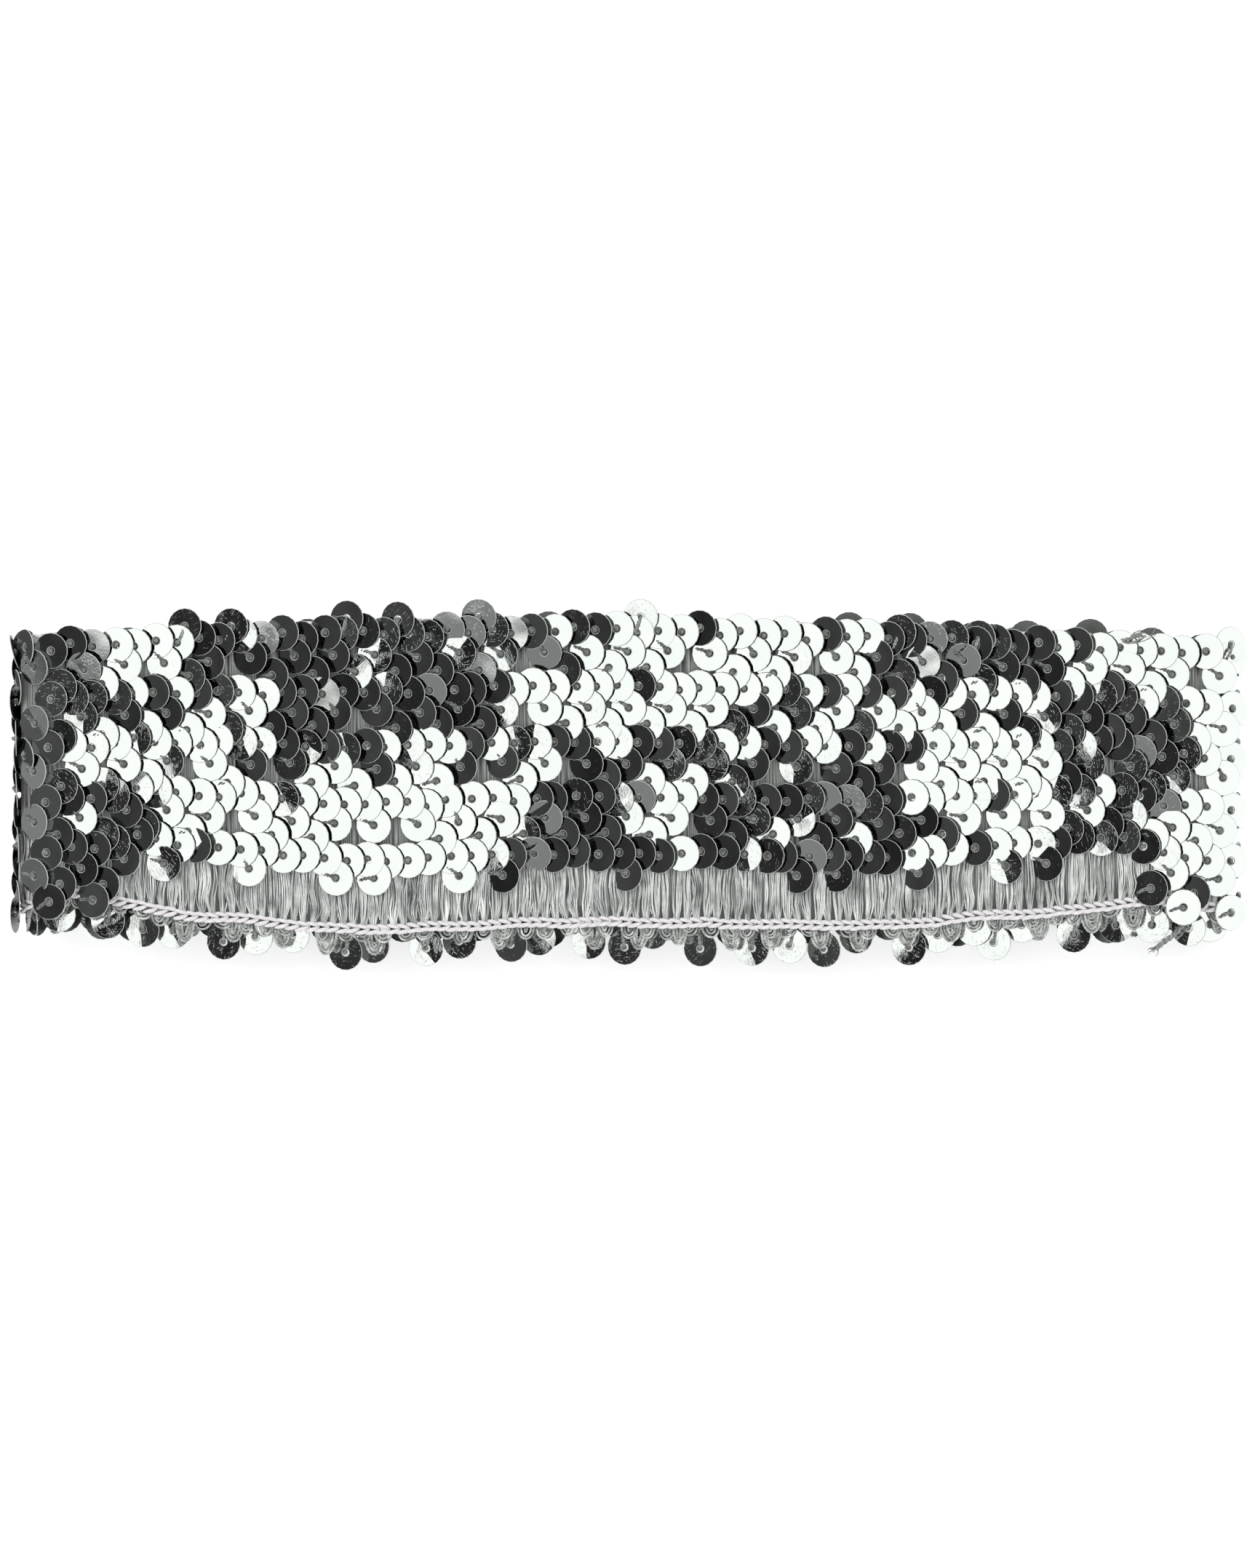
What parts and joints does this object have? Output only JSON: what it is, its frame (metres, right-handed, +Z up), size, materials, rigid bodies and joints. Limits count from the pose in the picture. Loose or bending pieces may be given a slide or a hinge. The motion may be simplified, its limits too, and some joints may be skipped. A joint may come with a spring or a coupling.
{
  "type": "stretch sequin headband",
  "caption": "Closed loop of stretch knit with crosswise-shingled rows of round sequins, chain-stitched edges and loose edge sequins, lying flat and doubled over.",
  "frame": {"origin": "under the middle of the loop, on the surface that it lies on", "axes": "+X from the left fold to the right fold, +Y across the band towards its upper edge, +Z up through both layers"},
  "size_m": [0.1772, 0.0514, 0.0129],
  "materials": {
    "floss_knit": "matte grey floss, knitted and gathered",
    "edge_chain": "soft off-white chain stitch",
    "sequin_film": "mirror silver film with fine scratches"
  },
  "bodies": {
    "root": {"knit_band": "floss_knit", "upper_edge_chain": "edge_chain", "lower_edge_chain": "edge_chain", "sequin_row_1": "sequin_film", "sequin_row_2": "sequin_film", "sequin_row_3": "sequin_film", "sequin_row_4": "sequin_film", "sequin_row_5": "sequin_film", "edge_sequins": "sequin_film", "join_seam": "floss_knit"}
  },
  "joints": []
}
